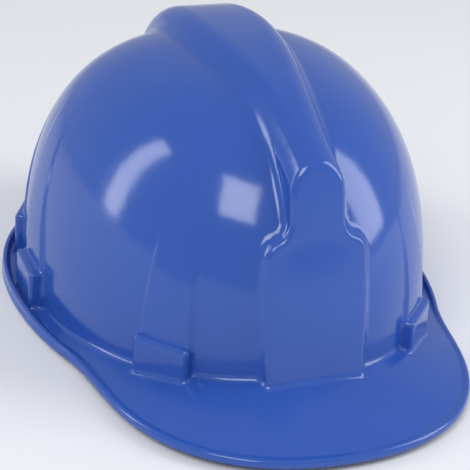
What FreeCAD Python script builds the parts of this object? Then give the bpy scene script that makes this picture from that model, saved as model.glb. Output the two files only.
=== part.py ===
"""Industrial safety helmet: moulded shell, four-point webbing harness and ratchet headband.

Millimetres. +Z is up, the peak points to -Y, and the helmet is symmetric about X = 0 apart
from the nape ratchet's two rack straps. The origin is on the plane that the rim rests on,
midway along the overall length.
"""
import FreeCAD, Part
import math
import os
from FreeCAD import Vector

# --- Shell: overall form -------------------------------------------------------------------
DOME_HALF_WIDTH = 99.0        # at the rim, before the rear widening
DOME_HALF_LENGTH = 122.0
DOME_HEIGHT = 130.0           # above the rim plane
DOME_LEAN = -3.0              # how far the top of the dome moves forward
REAR_WIDENING = 0.123         # share of the width gained from the middle to the rear
PLAN_POWER = 2.2              # superellipse power of the plan
PROFILE_POWER = 2.64          # superellipse power of the side profile
WALL = 2.6
RIM_LEVEL = 7.2               # top of the rolled rim
GUTTER_WIDTH = 11.5           # brim width at the sides and the rear
PEAK_WIDTH = 47.5             # brim width at the front
PEAK_SPAN = 70.0              # plan angle where the peak has narrowed to the gutter
PEAK_ROOT_RISE = 19.0         # how far the peak's root stands above the gutter floor
PEAK_ROOT_SPAN = 110.0        # plan angle where the root has come down to the gutter floor
PEAK_BEAD = 1.2               # how far the rim bead stands above the peak
RIM_BEAD_WIDTH = 2.6
FLOOR_TRIM = 0.3              # ground off the gutter's underside to leave a flat seat

# --- Shell: crest and front plate ----------------------------------------------------------
CREST_RISE = 9.0
CREST_FRONT_RADIUS = 236.0    # side-view radius of the crest's front half
CREST_NECK_HALF_WIDTH = 13.4
CREST_TOP_HALF_WIDTH = 26.0
CREST_REAR_HALF_WIDTH = 19.0
CREST_CROWN = 11.0            # depth of the crest's rounded top
PLATE_HALF_WIDTH = 24.7
PLATE_SHOULDER = 86.5         # height of the plate's square shoulders
PLATE_NECK = 92.0             # height where the shoulders meet the neck
PLATE_FOOT_Y = -125.3         # front face at the foot, from the dome's centre
PLATE_FOOT_Z = 21.4
PLATE_LEAN = 10.3             # degrees back from upright

# --- Shell: side bosses and their pockets --------------------------------------------------
BOSS_WIDTH = 30.0
BOSS_PROUD = 5.0
BOSS_WALL = 2.2
BOSS_EDGE = 2.0
POCKET_WIDTH = 24.0
KEY_POCKET_DEPTH = 3.6
FRONT_KEY_ANGLE = 43.0        # plan angle of the front keys
REAR_KEY_ANGLE = 125.0
FRONT_BOSS_TOP = 32.0
REAR_BOSS_TOP = 26.0
SIDE_BOSS_TOP = 24.0
SIDE_SLOT_Y = 13.0            # accessory slot, from the dome's centre
SIDE_SLOT_DEPTH = 4.6
SIDE_BOSS_PROUD = 6.6

# --- Harness -------------------------------------------------------------------------------
KEY_PLATE_WIDTH = 28.0
KEY_PLATE_WALL = 2.4
KEY_PLATE_TOP = 36.0
KEY_STANDOFF = 5.2            # gap from the dome's outside to the key plate
KEY_FOOT_HEIGHT = 3.8
KEY_FOOT_LEVEL = 6.4          # top of the rear keys' feet
FOOT_DROP = 2.0               # front keys' feet below the brim's underside
RIVET_RISE = 6.5              # of the key's rivet above its foot
KEY_CLEARANCE = 0.3
WEBBING_WIDTH = 20.0
WEBBING_WALL = 1.2
CROWN_TOP = 98.0              # top of the lower crown strap
CROWN_GAP = 2.4               # between the two straps where they cross
CROWN_POWER = 2.3
CROWN_PAD_RADIUS = 28.0
CROWN_PAD_HEIGHT = 4.5
CROWN_PAD_DROP = 6.0          # from the lower strap's top to the pad's top
HANGER_WIDTH = 12.0
HANGER_WALL = 2.2
STUD_RADIUS = 2.0
STUD_HEAD_RADIUS = 3.6
STUD_HEAD_HEIGHT = 1.4
STUD_CLEARANCE = 0.1

BAND_Y = 16.0                 # centre of the nape arc, from the dome's centre
BAND_RADIUS = 76.0            # inner face of the headband at the sides and the nape
BAND_FRONT = 112.0            # inner face at the brow, from the nape arc's centre
BAND_WALL = 1.6
BAND_BOTTOM = 18.0
BAND_HEIGHT = 32.0
BAND_END_ANGLE = 50.0         # from the rear, where the headband stops
SWEATBAND_WALL = 2.8
SWEATBAND_MARGIN = 1.5
SWEATBAND_REAR = 24.0         # how far in front of the nape arc's centre it ends
SOFT_GAP = 0.2

# --- Nape ratchet --------------------------------------------------------------------------
RATCHET_LEVEL = 28.0
MODULE = 1.5
PINION_TEETH = 8
PRESSURE_ANGLE = 25.0
RACK_ADDENDUM = 0.6           # in modules
PINION_ADDENDUM = 0.7
ROOT_CLEARANCE = 0.2
BACKLASH = 0.45
RACK_WALL = 1.3
RACK_HEIGHT = 19.0
RACK_LAYER_GAP = 0.4
RACK_FRONT_ANGLE = 74.0
RACK_OVERLAP = 34.0           # how far each strap passes the knob
TIGHTEN_DEGREES = 140.0
LOOSEN_DEGREES = 200.0
SLIDE_CLEARANCE = 0.3
HOUSING_HALF_ANGLE = 21.0
HOUSING_HEIGHT = 30.0
HOUSING_WALL = 2.3
COVER_WALL = 3.0
PINION_PIN_RADIUS = 2.0
PINION_SHAFT_RADIUS = 4.0
SHAFT_CLEARANCE = 0.08
KNOB_RADIUS = 19.0
KNOB_HEIGHT = 11.5
KNOB_WALL = 2.4
KNOB_HUB_RADIUS = 6.5
KNOB_FLUTES = 14
KNOB_FLUTE_RADIUS = 2.4
KNOB_GAP = 0.5
SCREW_RADIUS = 1.3
SCREW_HEAD_RADIUS = 2.6
SCREW_HEAD_HEIGHT = 1.6
SCREW_SPACING = 46.0
KEEPER_ANGLE = 57.5
KEEPER_LENGTH = 9.0
KEEPER_WALL = 1.8
NAPE_PAD_WALL = 3.0
NAPE_PAD_HALF_ANGLE = 18.0

# --- Worked-out places ---------------------------------------------------------------------
DOME_Y = (PEAK_WIDTH - GUTTER_WIDTH) / 2
BAND_CENTRE = Vector(0, DOME_Y + BAND_Y, 0)
BELOW = -12.0
PITCH_RADIUS = MODULE * PINION_TEETH / 2
PITCH = math.pi * MODULE
PINION_TIP = PITCH_RADIUS + PINION_ADDENDUM * MODULE
PINION_ROOT = PITCH_RADIUS - (RACK_ADDENDUM + ROOT_CLEARANCE) * MODULE
BAND_OUTER = BAND_RADIUS + BAND_WALL
RACK_INNER = {"right": BAND_OUTER + RACK_LAYER_GAP,
              "left": BAND_OUTER + 2 * RACK_LAYER_GAP + RACK_WALL}
RACK_OUTER_LIMIT = RACK_INNER["left"] + RACK_WALL
UP = Vector(0, 0, 1)
SIDES = {"left": 1, "right": -1}     # the wearer's left is +X


def power(value, exponent):
    """Signed power, for superellipses."""
    return math.copysign(abs(value) ** exponent, value)


def plan_point(angle, inset=0.0):
    """Point of the dome's plan curve; angle in degrees from the front."""
    t = math.radians(angle)
    across = power(math.sin(t), 2 / PLAN_POWER)
    along = -power(math.cos(t), 2 / PLAN_POWER)
    x = (DOME_HALF_WIDTH - inset) * across * (1 + REAR_WIDENING * along)
    return Vector(x, DOME_Y + (DOME_HALF_LENGTH - inset) * along, 0)


def plan_normal(angle):
    """Outward unit normal of the plan curve."""
    step = 0.5
    tangent = plan_point(angle + step) - plan_point(angle - step)
    return Vector(tangent.y, -tangent.x, 0).normalize()


def offset_point(angle, distance, z):
    point = plan_point(angle) + plan_normal(angle) * distance
    return Vector(point.x, point.y, z)


def brim_width(angle):
    share = min(abs(angle) / PEAK_SPAN, 1.0) ** 1.5
    return GUTTER_WIDTH + (PEAK_WIDTH - GUTTER_WIDTH) * (1 + math.cos(math.pi * share)) / 2


def root_level(angle):
    """Height of the brim's top face where it meets the dome."""
    share = min(abs(angle) / PEAK_ROOT_SPAN, 1.0)
    rise = PEAK_ROOT_RISE * (1 + math.cos(math.pi * share)) / 2
    return WALL - FLOOR_TRIM + rise


def edge_level(angle):
    """Height of the brim's top face just inside the rim bead."""
    start = 45.0
    share = min(max((abs(angle) - start) / (PEAK_ROOT_SPAN - start), 0.0), 1.0)
    blend = (1 + math.cos(math.pi * share)) / 2
    return root_level(180) + (RIM_LEVEL - PEAK_BEAD - root_level(180)) * blend


def closed_curve(points):
    curve = Part.BSplineCurve()
    curve.interpolate(points, PeriodicFlag=True)
    return Part.Wire(curve.toShape())


def around(count):
    return [360.0 * i / count - 180.0 for i in range(count)]


def dome_solid(inset):
    """Closed solid inside the dome's skin, drawn in by inset."""
    height = DOME_HEIGHT - inset
    levels = [(BELOW, 1.0, 0.0), (BELOW / 3, 1.0, 0.0), (RIM_LEVEL, 1.0, 0.0)]
    for degrees in range(10, 90, 8):
        s = math.sin(math.radians(degrees)) ** (2 / PROFILE_POWER)
        g = math.cos(math.radians(degrees)) ** (2 / PROFILE_POWER)
        levels.append((RIM_LEVEL + height * s, g, DOME_LEAN * s))
    wires = []
    for z, scale, lean in levels:
        ring = []
        for angle in around(48):
            p = plan_point(angle, inset)
            ring.append(Vector(p.x * scale, DOME_Y + (p.y - DOME_Y) * scale + lean, z))
        wires.append(closed_curve(ring))
    return Part.makeLoft(wires, True, False)


def brim_band(inner, beyond):
    """Ruled face that follows the brim's top from inside the dome to past its edge."""
    rings = []
    for place in ("inner", "outer"):
        ring = []
        for angle in around(72):
            width = brim_width(angle)
            slope = (edge_level(angle) - root_level(angle)) / width
            distance = -inner if place == "inner" else width + beyond
            ring.append(offset_point(angle, distance, root_level(angle) + slope * distance))
        curve = Part.BSplineCurve()
        curve.interpolate(ring, PeriodicFlag=True)
        rings.append(curve.toShape())
    return Part.makeRuledSurface(rings[0], rings[1])


def rim_prism(inset, bottom, top):
    ring = [offset_point(angle, brim_width(angle) - inset, bottom) for angle in around(72)]
    return Part.Face(closed_curve(ring)).extrude(UP * (top - bottom))


# --- Crest and front plate -----------------------------------------------------------------
PIVOT_Z = 30.0                # the crest's sections fan out from this height
FAN_INNER = 60.0


def crest_radius(degrees):
    """Distance from the fan's pivot to the crest's top line, at an angle up from the front."""
    limit = math.degrees(math.atan2(91.2, 107.8))
    t = math.radians(max(degrees, limit))
    dy, dz = -math.cos(t), math.sin(t)
    low, high = 60.0, 200.0
    for _ in range(50):
        r = (low + high) / 2
        y, z = r * dy, PIVOT_Z + r * dz
        top = RIM_LEVEL + DOME_HEIGHT + CREST_RISE
        if y < 0:
            inside = z < top - y * y / (2 * CREST_FRONT_RADIUS)
        else:
            s = max(z - RIM_LEVEL, 0.0) / (DOME_HEIGHT + CREST_RISE)
            reach = DOME_HALF_LENGTH + CREST_RISE
            inside = s < 1 and (y / reach) ** PROFILE_POWER + s ** PROFILE_POWER < 1
        if inside:
            low = r
        else:
            high = r
    return low


def crest_half_width(degrees):
    """Neck width at the front, widest on top, narrower again at the rear."""
    if degrees < 40:
        return CREST_NECK_HALF_WIDTH
    if degrees < 105:
        share = (1 - math.cos(math.pi * (degrees - 40) / 65)) / 2
        return CREST_NECK_HALF_WIDTH + (CREST_TOP_HALF_WIDTH - CREST_NECK_HALF_WIDTH) * share
    share = (1 - math.cos(math.pi * min(degrees - 105, 80) / 80)) / 2
    return CREST_TOP_HALF_WIDTH + (CREST_REAR_HALF_WIDTH - CREST_TOP_HALF_WIDTH) * share


def crest_solid(inset):
    """Loft through arched sections that fan from the front plate over the top to the rear."""
    wires = []
    for degrees in range(-10, 201, 15):
        t = math.radians(degrees)
        out = Vector(0, -math.cos(t), math.sin(t))
        pivot = Vector(0, DOME_Y, PIVOT_Z)
        half = crest_half_width(degrees) - inset
        top = crest_radius(degrees) - inset
        crown = min(half, CREST_CROWN)
        arch = []
        for i in range(9):
            a = math.pi * i / 8
            arch.append(pivot + Vector(-half * math.cos(a), 0, 0) + out * (top - crown * (1 - math.sin(a))))
        curve = Part.BSplineCurve()
        curve.interpolate(arch, InitialTangent=out, FinalTangent=out * -1)
        left = pivot + Vector(-half, 0, 0) + out * FAN_INNER
        right = pivot + Vector(half, 0, 0) + out * FAN_INNER
        wires.append(Part.Wire([Part.makeLine(left, arch[0]), curve.toShape(),
                                Part.makeLine(arch[-1], right), Part.makeLine(right, left)]))
    return Part.makeLoft(wires, True, False)


def plate_solid(inset):
    """Upright plate with sloping shoulders, from below the brim to the crest's neck."""
    half = PLATE_HALF_WIDTH - inset
    neck = CREST_NECK_HALF_WIDTH - inset
    y = DOME_Y - 160
    outline = [Vector(-half, y, BELOW), Vector(half, y, BELOW), Vector(half, y, PLATE_SHOULDER - inset),
               Vector(neck, y, PLATE_NECK - inset), Vector(-neck, y, PLATE_NECK - inset),
               Vector(-half, y, PLATE_SHOULDER - inset)]
    return Part.Face(Part.makePolygon(outline + outline[:1])).extrude(Vector(0, 100, 0))


def ahead_of_plate(inset):
    """Everything in front of the plate's leaning face."""
    size = 400.0
    box = Part.makeBox(size, size, size, Vector(-size / 2, -size, -size / 2))
    box.rotate(Vector(0, 0, 0), Vector(1, 0, 0), -PLATE_LEAN)
    box.translate(Vector(0, DOME_Y + PLATE_FOOT_Y + inset, PLATE_FOOT_Z))
    return box


def crest_and_plate(inset):
    return crest_solid(inset).fuse(plate_solid(inset)).cut(ahead_of_plate(inset))


# --- Local frames on the dome --------------------------------------------------------------
class Station:
    """A place on the rim: across is along the wall, out points away from the head."""

    def __init__(self, origin, out):
        self.origin = origin
        self.out = out
        self.across = Vector(out.y, -out.x, 0)

    def at(self, across, out, z):
        return self.origin + self.across * across + self.out * out + UP * z

    def box(self, half_width, out0, out1, z0, z1, rounded=0.0):
        solid = Part.makeBox(2 * half_width, out1 - out0, z1 - z0, Vector(-half_width, out0, z0))
        if rounded:
            edges = [e for e in solid.Edges if e.CenterOfMass.y > out1 - 0.01
                     and (abs(e.CenterOfMass.x) > half_width - 0.01 or e.CenterOfMass.z > z1 - 0.01)]
            solid = solid.makeFillet(rounded, edges)
        turn = FreeCAD.Rotation(Vector(0, 1, 0), self.out)
        solid.Placement = FreeCAD.Placement(self.origin, turn)
        return solid

    def peg(self, radius, out0, out1, z):
        return Part.makeCylinder(radius, out1 - out0, self.at(0, out0, z), self.out)


def key_station(end, side):
    angle = FRONT_KEY_ANGLE if end == "front" else REAR_KEY_ANGLE
    return Station(plan_point(side * angle), plan_normal(side * angle))


def side_station(side):
    """The accessory slot faces straight out along X."""
    low, high = 60.0, 130.0
    for _ in range(40):
        angle = (low + high) / 2
        if plan_point(angle).y < DOME_Y + SIDE_SLOT_Y:
            low = angle
        else:
            high = angle
    return Station(Vector(side * plan_point(low).x, DOME_Y + SIDE_SLOT_Y, 0), Vector(side, 0, 0))


def foot_level(end):
    """Top of a key's foot: under the dome wall at the front, in a notch at the rear."""
    return root_level(FRONT_KEY_ANGLE) - WALL - FOOT_DROP if end == "front" else KEY_FOOT_LEVEL


def boss_top(end):
    return FRONT_BOSS_TOP if end == "front" else REAR_BOSS_TOP


POCKET_OUT = BOSS_PROUD - BOSS_WALL
POCKET_IN = POCKET_OUT - KEY_POCKET_DEPTH
KEYS = [(end, name, key_station(end, side)) for end in ("front", "rear") for name, side in SIDES.items()]


def shell():
    """One moulding: dome, crest, front plate, bosses, peak and rain gutter."""
    brim = brim_band(12.0, 4.0).extrude(UP * -2 * WALL)
    lip = rim_prism(-RIM_BEAD_WIDTH, BELOW, RIM_LEVEL).cut(rim_prism(RIM_BEAD_WIDTH, BELOW - 1, RIM_LEVEL + 1))
    brim = brim.fuse(lip).common(rim_prism(0, BELOW - 2, 60))
    under = brim_band(20.0, 8.0).translated(UP * -WALL).extrude(UP * -60)
    body = dome_solid(0).fuse(crest_and_plate(0))
    hollows = [dome_solid(WALL), crest_and_plate(WALL)]
    bosses = []
    for end, _, station in KEYS:
        bosses.append(station.box(BOSS_WIDTH / 2, -2.0, BOSS_PROUD, BELOW, boss_top(end), BOSS_EDGE))
        hollows.append(station.box(POCKET_WIDTH / 2, POCKET_IN, POCKET_OUT, BELOW - 1, boss_top(end) - WALL))
        if end == "rear":
            notch = foot_level(end) + KEY_CLEARANCE
            hollows.append(station.box(POCKET_WIDTH / 2, -9.0, POCKET_OUT, BELOW - 1, notch))
    for side in SIDES.values():
        station = side_station(side)
        out = SIDE_BOSS_PROUD - BOSS_WALL
        bosses.append(station.box(BOSS_WIDTH / 2, -2.0, SIDE_BOSS_PROUD, BELOW, SIDE_BOSS_TOP, BOSS_EDGE))
        hollows.append(station.box(POCKET_WIDTH / 2, out - SIDE_SLOT_DEPTH, out, BELOW - 1,
                                   SIDE_BOSS_TOP - WALL))
    body = body.fuse(bosses).fuse(brim)
    ground = Part.makeBox(600, 600, 100, Vector(-300, -300, -100))
    return body.cut([under, ground] + hollows)


# --- Harness: keys, hangers, straps --------------------------------------------------------
PLATE_OUT = -KEY_STANDOFF
PLATE_IN = PLATE_OUT - KEY_PLATE_WALL
KEY_HALF = POCKET_WIDTH / 2 - KEY_CLEARANCE


def key(end, station):
    """Hook-shaped key: tongue in the pocket, foot under the wall, plate inside with a slot."""
    level = foot_level(end)
    bottom = level - KEY_FOOT_HEIGHT
    tongue = station.box(KEY_HALF, POCKET_IN + KEY_CLEARANCE, POCKET_OUT - KEY_CLEARANCE, bottom,
                         boss_top(end) - WALL - 1.4)
    foot = station.box(KEY_HALF, PLATE_IN, POCKET_OUT - KEY_CLEARANCE, bottom, level)
    plate = station.box(KEY_PLATE_WIDTH / 2, PLATE_IN, PLATE_OUT, bottom, KEY_PLATE_TOP)
    slot = station.box(WEBBING_WIDTH / 2 + 0.6, PLATE_IN - 1, PLATE_OUT + 1, KEY_PLATE_TOP - 6.6,
                       KEY_PLATE_TOP - 3.0)
    hole = station.peg(STUD_RADIUS + STUD_CLEARANCE, PLATE_IN - 1, PLATE_OUT + 1, level + RIVET_RISE)
    return tongue.fuse([foot, plate]).cut([slot, hole])


def band_station(station):
    """Where the headband's outer face lies straight inside a key, and its own direction."""
    low, high = 0.0, 60.0
    centre = BAND_CENTRE
    front = BAND_FRONT + BAND_WALL
    for _ in range(50):
        gap = (low + high) / 2
        p = station.origin - station.out * gap - centre
        reach = front if p.y < 0 else BAND_OUTER
        if (p.x / BAND_OUTER) ** 2 + (p.y / reach) ** 2 > 1:
            low = gap
        else:
            high = gap
    p = station.origin - station.out * low
    d = p - centre
    reach = front if d.y < 0 else BAND_OUTER
    return Station(p, Vector(d.x / BAND_OUTER ** 2, d.y / reach ** 2, 0).normalize())


BAND_TAB_GAP = 0.35


def hanger_levels(end):
    """Bottom of the hanger, height of its band stud, and top of its band tab."""
    bottom = foot_level(end) + SOFT_GAP
    if end == "front":
        return bottom, BAND_BOTTOM + 5.5, BAND_BOTTOM + 11
    stud = bottom + HANGER_WALL + STUD_HEAD_RADIUS + SOFT_GAP
    return bottom, stud, stud + STUD_HEAD_RADIUS - SOFT_GAP


def hanger(end, station):
    """Bent arm from a key's plate in to the headband."""
    bottom, stud_z, top = hanger_levels(end)
    band = band_station(station)
    half = HANGER_WIDTH / 2
    key_tab = station.box(half, PLATE_IN - SOFT_GAP - HANGER_WALL, PLATE_IN - SOFT_GAP, bottom, bottom + 11.5)
    band_tab = band.box(half, BAND_TAB_GAP, BAND_TAB_GAP + HANGER_WALL, bottom, top)
    corners = [station.at(-half, PLATE_IN - SOFT_GAP, bottom), station.at(half, PLATE_IN - SOFT_GAP, bottom),
               band.at(half, BAND_TAB_GAP, bottom), band.at(-half, BAND_TAB_GAP, bottom)]
    bridge = Part.Face(Part.makePolygon(corners + corners[:1])).extrude(UP * HANGER_WALL)
    radius = STUD_RADIUS + STUD_CLEARANCE
    holes = [station.peg(radius, PLATE_IN - 10, PLATE_IN + 1, foot_level(end) + RIVET_RISE),
             band.peg(radius, -1, 5, stud_z)]
    return key_tab.fuse([band_tab, bridge]).cut(holes)


def key_rivet(end, station):
    z = foot_level(end) + RIVET_RISE
    inner = PLATE_IN - SOFT_GAP - HANGER_WALL
    shank = station.peg(STUD_RADIUS, inner - 0.5, PLATE_OUT, z)
    head = station.peg(STUD_HEAD_RADIUS, inner - 0.05 - STUD_HEAD_HEIGHT, inner - 0.05, z)
    return shank.fuse(head)


def band_stud(end, station):
    band = band_station(station)
    z = hanger_levels(end)[1]
    outer = BAND_TAB_GAP + HANGER_WALL
    shank = band.peg(STUD_RADIUS, -BAND_WALL + 0.1, outer + 0.5, z)
    head = band.peg(STUD_HEAD_RADIUS, outer + 0.05, outer + 0.05 + STUD_HEAD_HEIGHT, z)
    return shank.fuse(head)


def crown_strap(first, last, top):
    """Flat webbing from one key, up over the crown and down to the opposite key."""
    ends = []
    for end, station in (first, last):
        level = foot_level(end) + 12.4
        ends.append((station.at(0, PLATE_IN - SOFT_GAP - WEBBING_WALL / 2, level), station))
    (start, start_station), (finish, finish_station) = ends
    side_start = start_station.across
    side_finish = finish_station.across * -1
    wires = []
    count = 14
    for i in range(count + 1):
        theta = math.pi * i / count
        h = -power(math.cos(theta), 2 / CROWN_POWER)
        v = (h + 1) / 2
        rise = math.sin(theta) ** (2 / CROWN_POWER)
        base = start * (1 - v) + finish * v
        centre = Vector(base.x, base.y, base.z + (top - base.z) * rise)
        side = side_start * (1 - v) + side_finish * v
        side.normalize()
        along = finish - start
        along.z = 0
        along.normalize()
        slope = Vector(along.x * math.sin(theta), along.y * math.sin(theta), math.cos(theta))
        normal = side.cross(slope)
        normal.normalize()
        half = side * (WEBBING_WIDTH / 2)
        depth = normal * (WEBBING_WALL / 2)
        corners = [centre - half - depth, centre + half - depth, centre + half + depth, centre - half + depth]
        wires.append(Part.makePolygon(corners + corners[:1]))
    return Part.makeLoft(wires, True, False)


def crown_pad():
    return Part.makeCylinder(CROWN_PAD_RADIUS, CROWN_PAD_HEIGHT,
                             Vector(0, DOME_Y - 8, CROWN_TOP - CROWN_PAD_DROP - CROWN_PAD_HEIGHT), UP)


# --- Headband ------------------------------------------------------------------------------
def sector(r0, r1, z0, z1, a0, a1):
    """Ring sector about the nape arc's centre; angles in degrees from the rear towards +X."""
    def at(r, z):
        t = math.radians(a0)
        return BAND_CENTRE + Vector(r * math.sin(t), r * math.cos(t), z)
    face = Part.Face(Part.makePolygon([at(r0, z0), at(r1, z0), at(r1, z1), at(r0, z1), at(r0, z0)]))
    return face.revolve(BAND_CENTRE, Vector(0, 0, -1), a1 - a0)


def oval(inset, z0, z1):
    """Upright oval prism of the brow half of the headband."""
    front = BAND_FRONT - inset
    side = BAND_RADIUS - inset
    centre = BAND_CENTRE + UP * z0
    ellipse = Part.Ellipse(centre + Vector(0, -front, 0), centre + Vector(side, 0, 0), centre)
    return Part.Face(Part.Wire(ellipse.toShape())).extrude(UP * (z1 - z0))


def brow_strip(inner, outer, z0, z1, rear):
    """Curved strip round the brow, which stops rear millimetres in front of the centre."""
    ring = oval(-outer, z0, z1).cut(oval(-inner, z0 - 1, z1 + 1))
    keep = Part.makeBox(400, 400, 400, Vector(-200, BAND_CENTRE.y - rear - 400, -200))
    return ring.common(keep)


def headband():
    top = BAND_BOTTOM + BAND_HEIGHT
    band = brow_strip(0, BAND_WALL, BAND_BOTTOM, top, 0)
    lugs = []
    half_angle = math.degrees((HANGER_WIDTH / 2 + 1) / BAND_RADIUS)
    for end, _, station in KEYS:
        if end == "rear":
            out = band_station(station).out
            angle = math.degrees(math.atan2(out.x, out.y))
            lugs.append(sector(BAND_RADIUS, BAND_OUTER, hanger_levels(end)[0], BAND_BOTTOM + 1,
                               angle - half_angle, angle + half_angle))
    arms = [sector(BAND_RADIUS, BAND_OUTER, BAND_BOTTOM, top, a0, a1)
            for a0, a1 in ((BAND_END_ANGLE, 90), (-90, -BAND_END_ANGLE))]
    holes = [band_station(station).peg(STUD_RADIUS + STUD_CLEARANCE, -4, 2, hanger_levels(end)[1])
             for end, _, station in KEYS]
    return band.fuse(arms + lugs).cut(holes)


def sweatband():
    bottom = BAND_BOTTOM + SWEATBAND_MARGIN
    top = BAND_BOTTOM + BAND_HEIGHT - SWEATBAND_MARGIN
    return brow_strip(-SOFT_GAP - SWEATBAND_WALL, -SOFT_GAP, bottom, top, SWEATBAND_REAR)


def keeper(side):
    """Loop on the headband's end that guides a rack strap."""
    half_height = RACK_HEIGHT / 2 + SLIDE_CLEARANCE
    half_angle = math.degrees(KEEPER_LENGTH / 2 / BAND_OUTER)
    low, high = side * KEEPER_ANGLE - half_angle, side * KEEPER_ANGLE + half_angle
    inner = BAND_OUTER + 0.05
    outer = RACK_OUTER_LIMIT + SLIDE_CLEARANCE
    block = sector(inner, outer + KEEPER_WALL, RATCHET_LEVEL - half_height - KEEPER_WALL,
                   RATCHET_LEVEL + half_height + KEEPER_WALL, low, high)
    gate = sector(inner - 1, outer, RATCHET_LEVEL - half_height, RATCHET_LEVEL + half_height, low - 2, high + 2)
    return block.cut(gate)


# --- Nape ratchet --------------------------------------------------------------------------
def rack_tooth_gap(radius, wall, index, up):
    """Cutter for one space between rack teeth, centred half a pitch past tooth index."""
    slope = math.tan(math.radians(PRESSURE_ANGLE))
    depth_in = RACK_ADDENDUM * MODULE
    depth_out = (PINION_ADDENDUM + ROOT_CLEARANCE) * MODULE
    half_tip = PITCH / 4 + BACKLASH / 4 + slope * depth_in
    half_root = PITCH / 4 + BACKLASH / 4 - slope * depth_out
    z_tip = PITCH_RADIUS - depth_in - 0.05
    z_root = PITCH_RADIUS + depth_out
    outline = [Vector(-half_tip, 0, up * z_tip), Vector(half_tip, 0, up * z_tip),
               Vector(half_root, 0, up * z_root), Vector(-half_root, 0, up * z_root)]
    gap = Part.Face(Part.makePolygon(outline + outline[:1])).extrude(Vector(0, wall + 4, 0))
    gap.translate(Vector(0, radius - 2, RATCHET_LEVEL))
    mean = radius + wall / 2
    gap.rotate(Vector(0, 0, 0), Vector(0, 0, -1), math.degrees((index + 0.5) * PITCH / mean))
    return gap.translated(BAND_CENTRE)


def rack_strap(name):
    """Curved strap with a toothed slot: upper teeth on the right strap, lower on the left."""
    side = SIDES[name]
    up = -side
    inner = RACK_INNER[name]
    mean = inner + RACK_WALL / 2
    half = RACK_HEIGHT / 2
    past = math.degrees(RACK_OVERLAP / mean)
    angles = sorted((side * RACK_FRONT_ANGLE, -side * past))
    strap = sector(inner, inner + RACK_WALL, RATCHET_LEVEL - half, RATCHET_LEVEL + half, *angles)
    tighten = math.radians(TIGHTEN_DEGREES) * PITCH_RADIUS
    loosen = math.radians(LOOSEN_DEGREES) * PITCH_RADIUS
    to_front = tighten + PINION_TIP + 1
    to_end = loosen + PINION_TIP + 1
    slot_angles = sorted((side * math.degrees(to_front / mean), -side * math.degrees(to_end / mean)))
    tip = PITCH_RADIUS - RACK_ADDENDUM * MODULE
    plain = PINION_TIP + 0.5
    low, high = (-plain, tip) if up > 0 else (-tip, plain)
    cuts = [sector(inner - 1, inner + RACK_WALL + 1, RATCHET_LEVEL + low, RATCHET_LEVEL + high, *slot_angles)]
    first = math.ceil(math.radians(slot_angles[0]) * mean / PITCH)
    last = math.floor(math.radians(slot_angles[1]) * mean / PITCH)
    for index in range(first, last):
        cuts.append(rack_tooth_gap(inner, RACK_WALL, index, up))
    return strap.cut(cuts)


def involute_flank(base, outer, steps):
    """Points of an involute from its base circle to radius outer, as (radius, angle)."""
    last = math.sqrt((outer / base) ** 2 - 1)
    points = []
    for i in range(steps + 1):
        roll = last * i / steps
        points.append((base * math.sqrt(1 + roll * roll), roll - math.atan(roll)))
    return points


def pinion_outline(y):
    """Closed gear outline in the XZ plane, with a space centred straight up."""
    base = PITCH_RADIUS * math.cos(math.radians(PRESSURE_ANGLE))
    pitch_roll = math.tan(math.radians(PRESSURE_ANGLE))
    half_tooth = (PITCH / 2 - BACKLASH / 2) / 2 / PITCH_RADIUS
    half_base = half_tooth + pitch_roll - math.radians(PRESSURE_ANGLE)
    flank = involute_flank(base, PINION_TIP, 4)
    points = []
    for tooth in range(PINION_TEETH):
        middle = (tooth + 0.5) * 2 * math.pi / PINION_TEETH
        rising = [(PINION_ROOT, -half_base)] + [(r, a - half_base) for r, a in flank]
        falling = [(r, -a) for r, a in reversed(rising)]
        for r, a in rising + falling:
            points.append(Vector(r * math.sin(middle + a), y, r * math.cos(middle + a)))
    return points + points[:1]


def turned(radius, y0, y1):
    """Cylinder on the knob's axis, between two distances from the nape arc's centre."""
    return Part.makeCylinder(radius, y1 - y0, BAND_CENTRE + Vector(0, y0, RATCHET_LEVEL), Vector(0, 1, 0))


HOUSING_IN = BAND_OUTER - HOUSING_WALL
HOUSING_SPLIT = RACK_OUTER_LIMIT + SLIDE_CLEARANCE
COVER_OUT = HOUSING_SPLIT + 0.05 + COVER_WALL
KNOB_IN = COVER_OUT + KNOB_GAP
KNOB_OUT = KNOB_IN + KNOB_HEIGHT
SCREW_ANGLES = [side * math.degrees(SCREW_SPACING / 2 / HOUSING_SPLIT) for side in (-1, 1)]
SCREW_LEVELS = [RATCHET_LEVEL + side * (HOUSING_HEIGHT + RACK_HEIGHT + 2) / 4 for side in (-1, 1)]


def cover_screw_places():
    for angle in SCREW_ANGLES:
        t = math.radians(angle)
        out = Vector(math.sin(t), math.cos(t), 0)
        for level in SCREW_LEVELS:
            yield BAND_CENTRE + UP * level, out


def radial_peg(centre, out, radius, r0, r1):
    return Part.makeCylinder(radius, r1 - r0, centre + out * r0, out)


def housing_base():
    half = HOUSING_HEIGHT / 2
    track = RACK_HEIGHT / 2 + SLIDE_CLEARANCE
    a = HOUSING_HALF_ANGLE
    block = sector(HOUSING_IN, HOUSING_SPLIT, RATCHET_LEVEL - half, RATCHET_LEVEL + half, -a, a)
    cuts = [sector(BAND_OUTER + 0.1, HOUSING_SPLIT + 1, RATCHET_LEVEL - track, RATCHET_LEVEL + track, -a - 2, a + 2),
            turned(PINION_PIN_RADIUS + SHAFT_CLEARANCE, HOUSING_IN - 1, HOUSING_SPLIT)]
    for centre, out in cover_screw_places():
        cuts.append(radial_peg(centre, out, SCREW_RADIUS + STUD_CLEARANCE, HOUSING_SPLIT - 4, HOUSING_SPLIT + 1))
    return block.cut(cuts)


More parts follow.
